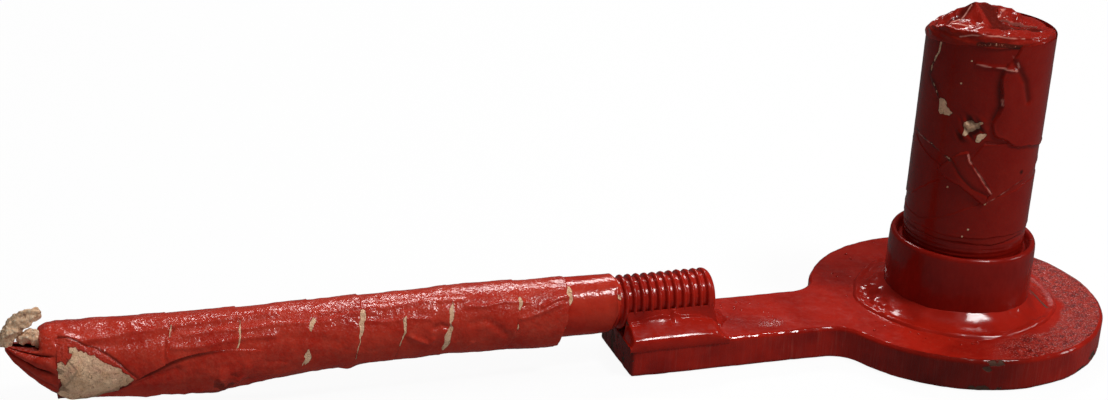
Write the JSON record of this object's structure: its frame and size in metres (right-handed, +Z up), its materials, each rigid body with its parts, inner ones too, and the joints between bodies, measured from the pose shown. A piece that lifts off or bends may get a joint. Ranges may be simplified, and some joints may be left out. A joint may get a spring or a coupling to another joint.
{
  "type": "fire hydrant wrench",
  "caption": "Shop-made fire hydrant wrench: flame-cut plate with a pipe-stub nut socket, welded threaded round-bar handle, taped and painted red.",
  "frame": {"origin": "the stub's axis at the plate's underside, which is the face the wrench rests on", "axes": "+Z up along the stub towards the socket's mouth, -X along the arm and handle, -Y the front"},
  "size_m": [0.5461, 0.149, 0.1728],
  "materials": {
    "red_paint_plate": "thick brushed gloss red enamel over flame-cut steel",
    "red_paint_weld": "gloss red enamel pooled over lumpy weld",
    "red_paint_pipe": "gloss red enamel over pipe and threads",
    "bare_steel": "bare machined steel, unpainted inside the stub",
    "painted_tape": "crepe paper tape, painted red, satin to gloss",
    "bare_tape": "cream crepe paper tape, torn, barely painted"
  },
  "bodies": {
    "root": {"head_plate": "red_paint_plate", "pipe_coupling": "red_paint_plate", "coupling_weld": "red_paint_weld", "socket_pipe": "red_paint_pipe", "pentagon_socket": "bare_steel", "socket_ring_weld": "bare_steel", "handle_rod": "red_paint_pipe", "handle_front_weld": "red_paint_weld", "handle_rear_weld": "red_paint_weld", "handle_end_weld": "red_paint_weld", "grip_base_tape": "painted_tape", "grip_tape_turn_1": "painted_tape", "grip_tape_turn_2": "painted_tape", "grip_tape_turn_3": "painted_tape", "grip_tape_turn_4": "painted_tape", "grip_tape_turn_5": "painted_tape", "grip_tape_turn_6": "painted_tape", "grip_tape_turn_7": "painted_tape", "grip_tape_turn_8": "painted_tape", "grip_paper_fold": "painted_tape", "grip_bare_flap": "bare_tape", "grip_end_gather": "painted_tape", "grip_tail_twist": "bare_tape", "stem_tape_base": "painted_tape", "stem_tape_lower_band": "painted_tape", "stem_tape_upper_band": "painted_tape", "stem_tape_strip_left": "painted_tape", "stem_tape_strip_right": "painted_tape", "stem_tape_side_flap": "painted_tape", "stem_tape_cap": "painted_tape"}
  },
  "joints": []
}
